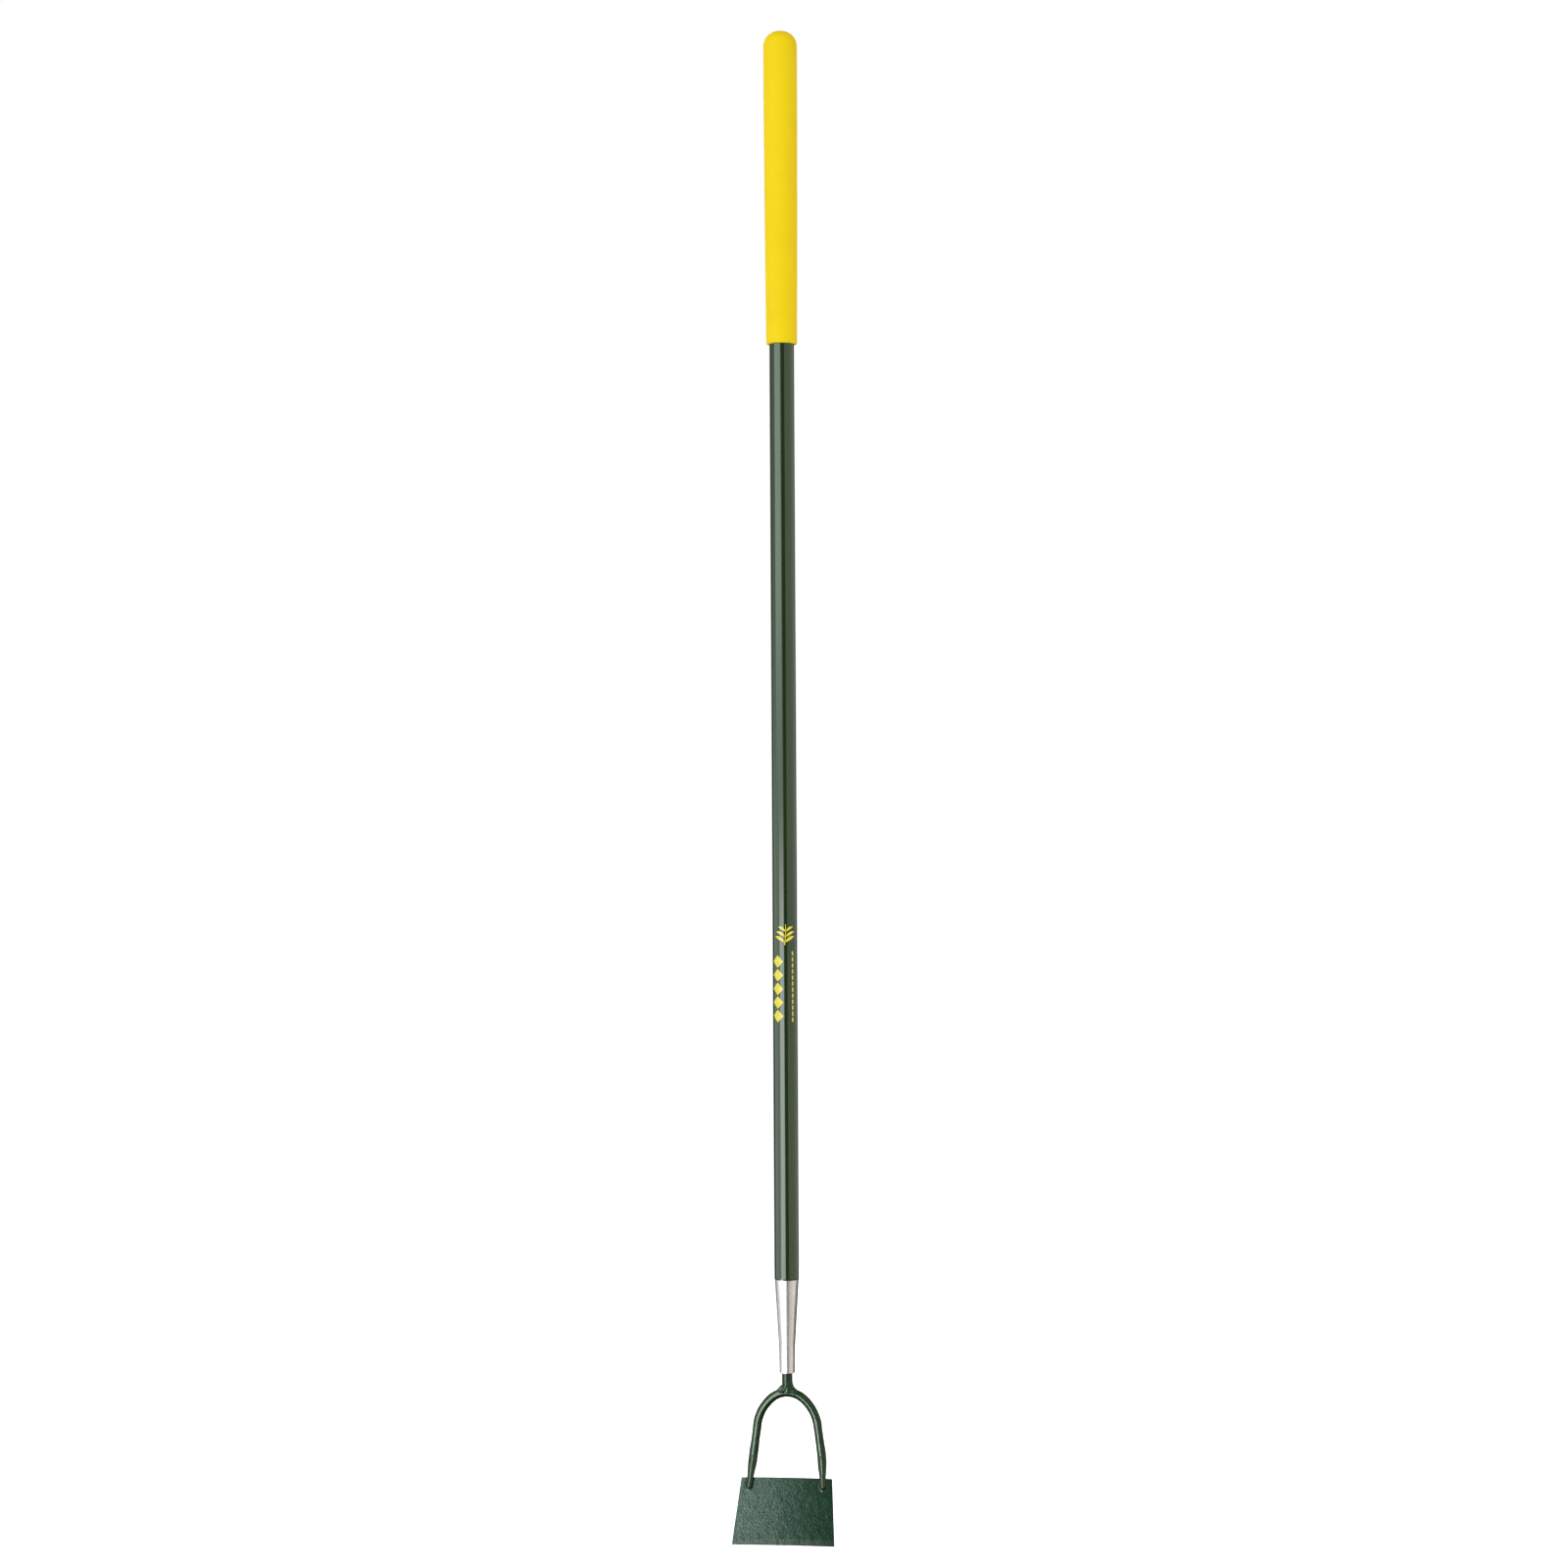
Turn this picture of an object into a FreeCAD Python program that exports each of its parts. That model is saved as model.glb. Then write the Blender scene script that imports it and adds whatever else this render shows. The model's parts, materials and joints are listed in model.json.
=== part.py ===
import FreeCAD, Part
import math
import os

# Push hoe: a flat blade on an arched bow, a bright ferrule, a steel tube handle and a foam grip.
# Millimetres, +Z up along the handle. The blade points towards -Y and X runs across it.
# The pieces are drawn about the handle's axis at their heights above the cutting edge. At the end
# they are lowered, so that the origin is on the axis at the middle of the bare tube, where a wall
# clip holds the tool.

# ---- driving dimensions ----
TOTAL_HEIGHT = 1527.0

TUBE_RADIUS = 12.7
TUBE_WALL = 1.2
TUBE_BOTTOM = 258.5
TUBE_EDGE_ROUND = 0.9

GRIP_BOTTOM = 1208.0
GRIP_RIM_RADIUS = 15.65
GRIP_MIDDLE_RADIUS = 16.7
GRIP_DOME_RADIUS = 17.15
GRIP_RIM_ROUND = 1.8
GRIP_END_WALL = 20.0

PLUG_FLANGE = 2.5
PLUG_SPIGOT_LENGTH = 22.0

FERRULE_BOTTOM = 163.4
FERRULE_MOUTH_RADIUS = 7.95
FERRULE_SLEEVE_TOP = 190.0
FERRULE_SLEEVE_RADIUS = 8.3
FERRULE_SHOULDER_RADIUS = 12.45
FERRULE_BLEND_RADIUS = 260.0
FERRULE_WALL = 1.4
FERRULE_SPIGOT_TOP = 286.0
FERRULE_LIP_ROUND = 0.5

SHANK_RADIUS = 5.43
TANG_START = 200.0
TANG_END = 304.0
TANG_END_RADIUS = 3.6

BUSH_RECESS = 2.0
BUSH_TOP = 318.0

BAR_RADIUS = 4.5
CROWN_HEIGHT = 143.1
CROWN_ARC_RADIUS = 24.6
CROWN_ARC_ANGLE = 39.6
SIDE_ARC_RADIUS = 42.4
ARM_LEAN = 7.7
KNEE_HEIGHT = 77.5
KNEE_BEND_RADIUS = 22.0
ARM_WAIST_HEIGHT = 95.0
ARM_WAIST_RADIUS = 4.3
KNEE_RADIUS = 4.65
ARM_DRAWN_HEIGHT = 59.5
ARM_DRAWN_RADIUS = 3.25
ARM_END_SPLAY = 4.2
ARM_END_HEIGHT = 52.2
ARM_END_RADIUS = 2.75

BLADE_TILT = 35.0
BLADE_THICKNESS = 2.5
BLADE_LENGTH = 70.0
BLADE_REAR_WIDTH = 92.4
BLADE_EDGE_WIDTH = 103.2
BLADE_CORNER_ROUND = 1.2
BEVEL_LENGTH = 6.0
EDGE_THICKNESS = 0.5
ARM_SEAT = 2.45

ARM_WELD_LEG = 1.7
ARM_WELD_HEIGHT = 2.0
ARM_WELD_BITE = 0.6

NECK_WELD_HALF_DEPTH = 3.9
NECK_WELD_ROUND = 1.8
NECK_RING_BOTTOM = 140.6
NECK_RING_TOP = 148.4
NECK_RING_BULGE = 1.4
NECK_WEB_TOP = 153.6
NECK_WEB_REACH = 11.4
NECK_WEB_HOLLOW = 0.7
NECK_LUMP_TOP = 150.2
NECK_LUMP_CREST = 4.2
NECK_LUMP_REACH = 10.2
NECK_LUMP_BULGE = 1.1

V = FreeCAD.Vector
UP = V(0, 0, 1)
ORIGIN = V(0, 0, 0)

# ---- frames shared by the pieces ----
tilt = math.radians(BLADE_TILT)
# along the blade from its cutting edge to its rear edge, and out of its top face
blade_up = V(0, math.sin(tilt), math.cos(tilt))
blade_out = V(0, -math.cos(tilt), math.sin(tilt))


def revolve(outline):
    """Solid of revolution about the handle's axis from closed edges in the XZ plane."""
    face = Part.Face(Part.Wire(outline))
    return face.revolve(ORIGIN, UP, 360)


def lines(points):
    """Straight edges through (radius, height) points."""
    corners = [V(r, 0, z) for r, z in points]
    return [Part.LineSegment(a, b).toShape() for a, b in zip(corners, corners[1:])]


def arc(start, middle, end):
    """Arc edge through three (radius, height) points."""
    return Part.Arc(*(V(r, 0, z) for r, z in (start, middle, end))).toShape()


def circle_wire(centre, direction, radius):
    return Part.Wire(Part.Circle(centre, direction, radius).toShape())


# ---- handle tube: a plain steel tube with its lower edge rounded ----
def make_handle_tube():
    length = tube_top - TUBE_BOTTOM
    outside = Part.makeCylinder(TUBE_RADIUS, length, V(0, 0, TUBE_BOTTOM))
    lower_edge = [e for e in outside.Edges if abs(e.CenterOfMass.z - TUBE_BOTTOM) < 0.01]
    outside = outside.makeFillet(TUBE_EDGE_ROUND, lower_edge)
    return outside.cut(Part.makeCylinder(tube_bore, length, V(0, 0, TUBE_BOTTOM)))


# ---- foam grip: slightly fuller towards the top, closed by a round dome ----
def make_grip():
    dome_base = TOTAL_HEIGHT - GRIP_DOME_RADIUS
    dome_shoulder = GRIP_DOME_RADIUS * math.sqrt(0.5)
    middle = (GRIP_BOTTOM + dome_base) / 2
    rim_corner = GRIP_RIM_ROUND * (1 - math.sqrt(0.5))
    rim_outer = (GRIP_RIM_RADIUS, GRIP_BOTTOM + GRIP_RIM_ROUND)
    rim_inner = (GRIP_RIM_RADIUS - GRIP_RIM_ROUND, GRIP_BOTTOM)
    outline = [
        arc(rim_inner, (GRIP_RIM_RADIUS - rim_corner, GRIP_BOTTOM + rim_corner), rim_outer),
        arc(rim_outer, (GRIP_MIDDLE_RADIUS, middle), (GRIP_DOME_RADIUS, dome_base)),
        arc(
            (GRIP_DOME_RADIUS, dome_base),
            (dome_shoulder, dome_base + dome_shoulder),
            (0, TOTAL_HEIGHT),
        ),
    ]
    outline += lines(
        [(0, TOTAL_HEIGHT), (0, plug_top), (TUBE_RADIUS, plug_top), (TUBE_RADIUS, GRIP_BOTTOM), rim_inner]
    )
    return revolve(outline)


# ---- plug that closes the tube under the grip ----
def make_tube_end_plug():
    spigot_bottom = tube_top - PLUG_SPIGOT_LENGTH
    return revolve(
        lines(
            [
                (0, plug_top),
                (TUBE_RADIUS, plug_top),
                (TUBE_RADIUS, tube_top),
                (tube_bore, tube_top),
                (tube_bore, spigot_bottom),
                (0, spigot_bottom),
                (0, plug_top),
            ]
        )
    )


# ---- ferrule: a near-straight sleeve that opens into a cone, with a spigot inside the tube ----
def ferrule_blend():
    """Where the arc between sleeve and cone starts, its middle and its end."""
    sleeve = V(FERRULE_SLEEVE_RADIUS - FERRULE_MOUTH_RADIUS, FERRULE_SLEEVE_TOP - FERRULE_BOTTOM, 0)
    cone = V(FERRULE_SHOULDER_RADIUS - FERRULE_SLEEVE_RADIUS, TUBE_BOTTOM - FERRULE_SLEEVE_TOP, 0)
    turn = sleeve.getAngle(cone)
    reach = FERRULE_BLEND_RADIUS * math.tan(turn / 2)
    sleeve.normalize()
    cone.normalize()
    corner = V(FERRULE_SLEEVE_RADIUS, FERRULE_SLEEVE_TOP, 0)
    inward = (cone - sleeve).normalize()
    depth = FERRULE_BLEND_RADIUS * (1 / math.cos(turn / 2) - 1)
    points = (corner - sleeve * reach, corner + inward * depth, corner + cone * reach)
    return [(p.x, p.y) for p in points]


def ferrule_bore_outline():
    """Inner wall from the mouth to the top of the spigot, as (radius, height) edges."""
    start, middle, end = [(r - FERRULE_WALL, z) for r, z in ferrule_blend()]
    mouth = (FERRULE_MOUTH_RADIUS - FERRULE_WALL, FERRULE_BOTTOM)
    cone_top = (tube_bore - FERRULE_WALL, TUBE_BOTTOM)
    spigot_top = (tube_bore - FERRULE_WALL, FERRULE_SPIGOT_TOP)
    return lines([mouth, start]) + [arc(start, middle, end)] + lines([end, cone_top, spigot_top])


def make_ferrule():
    start, middle, end = ferrule_blend()
    bore = ferrule_bore_outline()
    lip = FERRULE_LIP_ROUND * (1 - math.sqrt(0.5))
    lip_inner = (FERRULE_MOUTH_RADIUS - FERRULE_LIP_ROUND, FERRULE_BOTTOM)
    lip_outer = (FERRULE_MOUTH_RADIUS, FERRULE_BOTTOM + FERRULE_LIP_ROUND)
    outside = [arc(lip_inner, (FERRULE_MOUTH_RADIUS - lip, FERRULE_BOTTOM + lip), lip_outer)]
    outside += lines([lip_outer, start]) + [arc(start, middle, end)]
    outside += lines(
        [
            end,
            (FERRULE_SHOULDER_RADIUS, TUBE_BOTTOM),
            (tube_bore, TUBE_BOTTOM),
            (tube_bore, FERRULE_SPIGOT_TOP),
            (tube_bore - FERRULE_WALL, FERRULE_SPIGOT_TOP),
        ]
    )
    foot = lines([(FERRULE_MOUTH_RADIUS - FERRULE_WALL, FERRULE_BOTTOM), lip_inner])
    return revolve(foot + outside + bore)


# ---- shank: round neck bar that narrows to a tang inside the handle ----
def shank_bar():
    neck = Part.makeCylinder(SHANK_RADIUS, TANG_START - CROWN_HEIGHT, V(0, 0, CROWN_HEIGHT))
    tang = Part.makeCone(SHANK_RADIUS, TANG_END_RADIUS, TANG_END - TANG_START, V(0, 0, TANG_START))
    return neck.fuse(tang).removeSplitter()


# ---- bush that fills ferrule and tube end round the tang ----
def make_tang_bush(shank):
    bottom = FERRULE_BOTTOM + BUSH_RECESS
    outline = ferrule_bore_outline()
    outline += lines(
        [
            (tube_bore - FERRULE_WALL, FERRULE_SPIGOT_TOP),
            (tube_bore, FERRULE_SPIGOT_TOP),
            (tube_bore, BUSH_TOP),
            (0, BUSH_TOP),
            (0, FERRULE_BOTTOM),
            (FERRULE_MOUTH_RADIUS - FERRULE_WALL, FERRULE_BOTTOM),
        ]
    )
    mouth = Part.makeCylinder(TUBE_RADIUS, bottom - FERRULE_BOTTOM, V(0, 0, FERRULE_BOTTOM))
    return revolve(outline).cut(mouth).cut(shank)


# ---- bow: crown arc, two side arcs and two arms that bend forward onto the blade ----
def polar(centre_x, centre_z, radius, degrees):
    """Point on an arc in the bow's plane, counted from straight up towards +X."""
    angle = math.radians(degrees)
    return V(centre_x + radius * math.sin(angle), 0, centre_z + radius * math.cos(angle))


def arm_frame():
    """Knee corner, the arm's direction above it and its direction along the blade."""
    lean = math.radians(ARM_LEAN)
    splay = math.radians(ARM_END_SPLAY)
    above = V(math.sin(lean), 0, -math.cos(lean))
    below = V(math.sin(splay), 0, 0) - blade_up * math.cos(splay)
    side_end = polar(side_centre_x, side_centre_z, SIDE_ARC_RADIUS, 90 - ARM_LEAN)
    knee = side_end + above * ((side_end.z - KNEE_HEIGHT) / math.cos(lean))
    return side_end, knee, above, below


def make_arm():
    """The right arm from the end of its side arc to its rounded tip on the blade."""
    side_end, knee, above, below = arm_frame()
    turn = above.getAngle(below)
    reach = KNEE_BEND_RADIUS * math.tan(turn / 2)
    towards_centre = (below - above).normalize()
    bend_depth = KNEE_BEND_RADIUS * (1 / math.cos(turn / 2) - 1)
    bend_start = knee - above * reach
    bend_end = knee + below * reach
    bend = Part.Wire(Part.Arc(bend_start, knee + towards_centre * bend_depth, bend_end).toShape())
    waist = side_end + above * ((side_end.z - ARM_WAIST_HEIGHT) / -above.z)
    drawn = knee + below * ((knee.z - ARM_DRAWN_HEIGHT) / -below.z)
    tip = knee + below * ((knee.z - ARM_END_HEIGHT) / -below.z)
    pieces = [
        Part.makeCone(BAR_RADIUS, ARM_WAIST_RADIUS, side_end.distanceToPoint(waist), side_end, above),
        Part.makeCone(ARM_WAIST_RADIUS, KNEE_RADIUS, waist.distanceToPoint(bend_start), waist, above),
        bend.makePipeShell([circle_wire(bend_start, above, KNEE_RADIUS)], True, True),
        Part.makeCone(KNEE_RADIUS, ARM_DRAWN_RADIUS, bend_end.distanceToPoint(drawn), bend_end, below),
        Part.makeCone(ARM_DRAWN_RADIUS, ARM_END_RADIUS, drawn.distanceToPoint(tip), drawn, below),
        Part.makeSphere(ARM_END_RADIUS, tip),
    ]
    return pieces[0].multiFuse(pieces[1:])


def make_bow(blade):
    crown_end = polar(0, crown_centre_z, CROWN_ARC_RADIUS, CROWN_ARC_ANGLE)
    side_end = arm_frame()[0]
    side_middle_angle = (CROWN_ARC_ANGLE + 90 - ARM_LEAN) / 2
    side_middle = polar(side_centre_x, side_centre_z, SIDE_ARC_RADIUS, side_middle_angle)
    top = V(0, 0, CROWN_HEIGHT)
    path = Part.Wire(
        [
            Part.Arc(top, polar(0, crown_centre_z, CROWN_ARC_RADIUS, CROWN_ARC_ANGLE / 2), crown_end).toShape(),
            Part.Arc(crown_end, side_middle, side_end).toShape(),
        ]
    )
    half = path.makePipeShell([circle_wire(top, V(1, 0, 0), BAR_RADIUS)], True, True)
    half = half.fuse(make_arm())
    bow = half.fuse(half.mirror(ORIGIN, V(1, 0, 0))).removeSplitter()
    return bow.cut(blade)


# ---- blade: flared plate with a bevel ground on its top face ----
def make_blade():
    """Drawn flat with X across, Y from the cutting edge to the rear and Z out of the top face."""
    rear = BLADE_REAR_WIDTH / 2
    edge = BLADE_EDGE_WIDTH / 2
    corners = [V(-edge, 0, 0), V(edge, 0, 0), V(rear, BLADE_LENGTH, 0), V(-rear, BLADE_LENGTH, 0)]
    plate = Part.Face(Part.makePolygon(corners + corners[:1])).extrude(V(0, 0, BLADE_THICKNESS))
    upright = [e for e in plate.Edges if abs(e.Vertexes[0].X - e.Vertexes[1].X) < 0.01]
    upright = [e for e in upright if abs(e.Vertexes[0].Y - e.Vertexes[1].Y) < 0.01]
    plate = plate.makeFillet(BLADE_CORNER_ROUND, upright)
    bevel = [
        V(-edge, BEVEL_LENGTH, BLADE_THICKNESS),
        V(-edge, 0, EDGE_THICKNESS),
        V(-edge, 0, BLADE_THICKNESS),
    ]
    wedge = Part.Face(Part.makePolygon(bevel + bevel[:1])).extrude(V(BLADE_EDGE_WIDTH, 0, 0))
    plate = plate.cut(wedge)
    plate.Placement = blade_placement()
    return plate


def blade_placement():
    """From the flat drawing to the tilted blade, whose sole meets the ground at cutting_edge."""
    turn = FreeCAD.Rotation(V(1, 0, 0), blade_up, blade_out, "ZXY")
    return FreeCAD.Placement(cutting_edge, turn)


# ---- weld beads ----
def make_arm_weld(blade, bow):
    """Bead round the right arm's tip, on the blade's top face from its rear edge forward."""
    knee, _, below = arm_frame()[1:]
    flat = blade_placement().inverse()
    tip = flat.multVec(knee + below * ((knee.z - ARM_END_HEIGHT) / -below.z))
    heading = flat.Rotation.multVec(below)
    back = tip + heading * ((BLADE_LENGTH - tip.y) / heading.y)
    side = V(heading.y, -heading.x, 0)

    def outline(margin, height):
        radius = ARM_END_RADIUS + margin
        lift = V(0, 0, BLADE_THICKNESS + height)
        tip_flat = V(tip.x, tip.y, 0) + lift
        back_flat = V(back.x, back.y, 0) + lift
        ahead = V(heading.x, heading.y, 0).normalize()
        nose = Part.Arc(tip_flat + side * radius, tip_flat + ahead * radius, tip_flat - side * radius)
        left = Part.LineSegment(tip_flat - side * radius, back_flat - side * radius)
        rear = Part.LineSegment(back_flat - side * radius, back_flat + side * radius)
        right = Part.LineSegment(back_flat + side * radius, tip_flat + side * radius)
        return Part.Wire([nose.toShape(), left.toShape(), rear.toShape(), right.toShape()])

    bead = Part.makeLoft([outline(ARM_WELD_LEG, 0), outline(-ARM_WELD_BITE, ARM_WELD_HEIGHT)], True, True)
    bead.Placement = blade_placement()
    return bead.cut(bow).cut(blade)


def arc_edge(start, end, bulge):
    """Arc edge between (radius, height) points whose middle lies bulge to the right of the chord."""
    across, up = end[0] - start[0], end[1] - start[1]
    chord = math.hypot(across, up)
    middle = ((start[0] + end[0]) / 2 + bulge * up / chord, (start[1] + end[1]) / 2 - bulge * across / chord)
    return arc(start, middle, end)


def crown_top(x):
    """Height of the crown's upper side at x."""
    return crown_centre_z + math.sqrt((CROWN_ARC_RADIUS + BAR_RADIUS) ** 2 - x**2)


def make_neck_weld(bow, shank):
    """Ring of weld round the neck's foot, with a web on the +X side and a small lump on the -X side."""
    ring_foot = (SHANK_RADIUS, NECK_RING_BOTTOM)
    ring_top = (SHANK_RADIUS, NECK_RING_TOP)
    ring = revolve(
        [arc_edge(ring_foot, ring_top, NECK_RING_BULGE)]
        + lines([ring_top, (0, NECK_RING_TOP), (0, NECK_RING_BOTTOM), ring_foot])
    )
    web_top = (SHANK_RADIUS, NECK_WEB_TOP)
    web_foot = (NECK_WEB_REACH, crown_top(NECK_WEB_REACH))
    web = [arc_edge(web_top, web_foot, NECK_WEB_HOLLOW)]
    web += lines([web_foot, (NECK_WEB_REACH, CROWN_HEIGHT), (0, CROWN_HEIGHT), (0, NECK_WEB_TOP), web_top])
    lump_foot = (-NECK_LUMP_REACH, crown_top(NECK_LUMP_REACH))
    lump_top = (-NECK_LUMP_CREST, NECK_LUMP_TOP)
    lump = [arc_edge(lump_foot, lump_top, -NECK_LUMP_BULGE)]
    lump += lines(
        [lump_top, (0, NECK_LUMP_TOP), (0, CROWN_HEIGHT), (-NECK_LUMP_REACH, CROWN_HEIGHT), lump_foot]
    )
    weld = ring
    for outline in (web, lump):
        face = Part.Face(Part.Wire(outline))
        face.translate(V(0, -NECK_WELD_HALF_DEPTH, 0))
        bead = face.extrude(V(0, 2 * NECK_WELD_HALF_DEPTH, 0))
        curved = [e for e in bead.Edges if e.Curve.TypeId == "Part::GeomCircle"]
        weld = weld.fuse(bead.makeFillet(NECK_WELD_ROUND, curved))
    return weld.cut(bow).cut(shank)


# ---- places worked out from the driving dimensions ----
tube_bore = TUBE_RADIUS - TUBE_WALL
plug_top = TOTAL_HEIGHT - GRIP_END_WALL
tube_top = plug_top - PLUG_FLANGE

crown_centre_z = CROWN_HEIGHT - CROWN_ARC_RADIUS
crown_end_angle = math.radians(CROWN_ARC_ANGLE)
side_centre_x = (CROWN_ARC_RADIUS - SIDE_ARC_RADIUS) * math.sin(crown_end_angle)
side_centre_z = crown_centre_z + (CROWN_ARC_RADIUS - SIDE_ARC_RADIUS) * math.cos(crown_end_angle)

knee_corner = arm_frame()[1]
sole_below_knee = V(0, 0, knee_corner.z) - blade_out * (ARM_SEAT + BLADE_THICKNESS)
cutting_edge = sole_below_knee - blade_up * (sole_below_knee.z / math.cos(tilt))

blade = make_blade()
bow = make_bow(blade)
shank = shank_bar().cut(bow)
arm_weld = make_arm_weld(blade, bow)

pieces = {
    "blade": blade,
    "bow": bow,
    "shank": shank,
    "neck_weld": make_neck_weld(bow, shank),
    "right_arm_weld": arm_weld,
    "left_arm_weld": arm_weld.mirror(ORIGIN, V(1, 0, 0)),
    "ferrule": make_ferrule(),
    "tang_bush": make_tang_bush(shank),
    "handle_tube": make_handle_tube(),
    "tube_end_plug": make_tube_end_plug(),
    "grip": make_grip(),
}

clip_height = (TUBE_BOTTOM + GRIP_BOTTOM) / 2

os.makedirs("parts", exist_ok=True)
for name, piece in pieces.items():
    piece.translate(V(0, 0, -clip_height))
    piece.exportStep(f"parts/{name}.step")
    print(name, piece.isValid(), len(piece.Solids), round(piece.Volume), piece.optimalBoundingBox())
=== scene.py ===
import json
import math

import bmesh
import bpy
import numpy as np
from mathutils import Matrix, Quaternion, Vector, noise


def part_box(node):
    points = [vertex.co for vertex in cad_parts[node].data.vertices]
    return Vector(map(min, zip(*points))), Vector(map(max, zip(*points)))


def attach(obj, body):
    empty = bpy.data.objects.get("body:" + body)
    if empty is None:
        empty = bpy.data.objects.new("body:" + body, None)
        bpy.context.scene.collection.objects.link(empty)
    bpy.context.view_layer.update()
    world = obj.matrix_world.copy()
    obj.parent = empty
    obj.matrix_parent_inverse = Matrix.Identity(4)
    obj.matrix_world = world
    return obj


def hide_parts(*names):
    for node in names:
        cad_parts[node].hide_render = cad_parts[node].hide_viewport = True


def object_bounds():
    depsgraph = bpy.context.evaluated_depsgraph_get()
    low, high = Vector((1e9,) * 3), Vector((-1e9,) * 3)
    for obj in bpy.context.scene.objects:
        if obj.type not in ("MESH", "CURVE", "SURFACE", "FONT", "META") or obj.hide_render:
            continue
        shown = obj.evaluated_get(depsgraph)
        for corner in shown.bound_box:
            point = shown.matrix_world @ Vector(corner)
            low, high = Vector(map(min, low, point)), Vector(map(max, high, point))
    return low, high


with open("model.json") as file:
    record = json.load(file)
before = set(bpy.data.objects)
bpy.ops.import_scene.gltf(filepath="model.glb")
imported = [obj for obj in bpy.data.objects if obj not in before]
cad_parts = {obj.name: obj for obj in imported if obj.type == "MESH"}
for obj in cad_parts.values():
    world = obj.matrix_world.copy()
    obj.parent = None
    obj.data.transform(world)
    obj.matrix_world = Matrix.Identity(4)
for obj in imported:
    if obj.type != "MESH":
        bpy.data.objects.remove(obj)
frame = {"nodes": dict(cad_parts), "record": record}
nodes = frame["nodes"]
cad_low, cad_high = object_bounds()

MM = 0.001
scene = bpy.context.scene
floor_height = cad_low.z
tube_low, tube_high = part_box("handle_tube")
tube_radius = tube_high.x
grip_low, grip_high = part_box("grip")


# ---------------------------------------------------------------- camera and studio
def around(azimuth, distance, height):
    """Point at a compass angle round the handle: 0 in front of the blade, 90 on its +X side."""
    angle = math.radians(azimuth)
    return Vector((distance * math.sin(angle), -distance * math.cos(angle), height))


# degrees and metres, and millimetres for the lens and its sensor
CAMERA_AZIMUTH = 6.0
CAMERA_DISTANCE = 2.9
CAMERA_HEIGHT = 0.7615
CAMERA_ROLL = -0.31
CAMERA_LENS = 65.5
SENSOR_WIDTH = 36.0
MOST_BOUNCES = 6

eye_height = floor_height + CAMERA_HEIGHT
camera = bpy.data.objects.new("camera", bpy.data.cameras.new("camera"))
scene.collection.objects.link(camera)
scene.camera = camera
camera.data.sensor_width = SENSOR_WIDTH
camera.data.lens = CAMERA_LENS
camera.location = around(CAMERA_AZIMUTH, CAMERA_DISTANCE, eye_height)
level_view = (Vector((0, 0, eye_height)) - camera.location).to_track_quat("-Z", "Y")
camera.rotation_mode = "QUATERNION"
camera.rotation_quaternion = level_view @ Quaternion((0, 0, 1), math.radians(CAMERA_ROLL))

scene.view_settings.view_transform = "Standard"
scene.cycles.max_bounces = MOST_BOUNCES


def node_tree(owner):
    """Empties a material's or world's node tree and returns it."""
    owner.use_nodes = True
    owner.node_tree.nodes.clear()
    return owner.node_tree


def add_node(tree, kind, inputs=None, **settings):
    """Adds a shader node. An input's value is a number, a colour or another node's output."""
    made = tree.nodes.new(kind)
    for key, value in settings.items():
        setattr(made, key, value)
    for key, value in (inputs or {}).items():
        if isinstance(value, bpy.types.NodeSocket):
            tree.links.new(value, made.inputs[key])
        else:
            made.inputs[key].default_value = value
    return made


PANEL_DISTANCE = 1.6
PANEL_GAP = 0.03
WHITE = (1, 1, 1)
WARM = (1.0, 0.95, 0.86)
ROSE = (1.0, 0.86, 0.94)
COOL = (0.86, 0.97, 1.0)
LEAFY = (0.96, 1.0, 0.92)


def hang(name, place, target, size, radiance, kind="gloss", colour=WHITE):
    """Adds an area lamp at a place, turned to a target and unseen by the camera.

    size is its width and height, and kind says what it lights: gloss, matt or both.
    """
    lamp = bpy.data.lights.new(name, "AREA")
    lamp.shape = "RECTANGLE"
    lamp.size, lamp.size_y = size
    lamp.energy = radiance * math.pi * lamp.size * lamp.size_y
    lamp.color = colour
    made = bpy.data.objects.new(name, lamp)
    scene.collection.objects.link(made)
    made.location = place
    made.rotation_mode = "QUATERNION"
    made.rotation_quaternion = (target - place).to_track_quat("-Z", "Y")
    made.visible_camera = False
    made.visible_glossy = kind != "matt"
    made.visible_diffuse = kind != "gloss"
    return lamp


def dim_along(lamp, side, ends, left):
    """Fades a lamp across (side 0) or up (side 1) its face.

    Its light goes from left to 1 between two places on it, given as shares of that side.
    """
    tree = node_tree(lamp)
    spot = add_node(tree, "ShaderNodeNewGeometry")
    split = add_node(tree, "ShaderNodeSeparateXYZ", {0: spot.outputs["Parametric"]})
    level = add_node(
        tree,
        "ShaderNodeMapRange",
        {
            "Value": split.outputs[side],
            "From Min": ends[0],
            "From Max": ends[1],
            "To Min": left,
            "To Max": 1.0,
        },
        interpolation_type="SMOOTHSTEP",
    )
    glow = add_node(tree, "ShaderNodeEmission", {"Strength": level.outputs[0]})
    add_node(tree, "ShaderNodeOutputLight", {"Surface": glow.outputs[0]})


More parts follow.
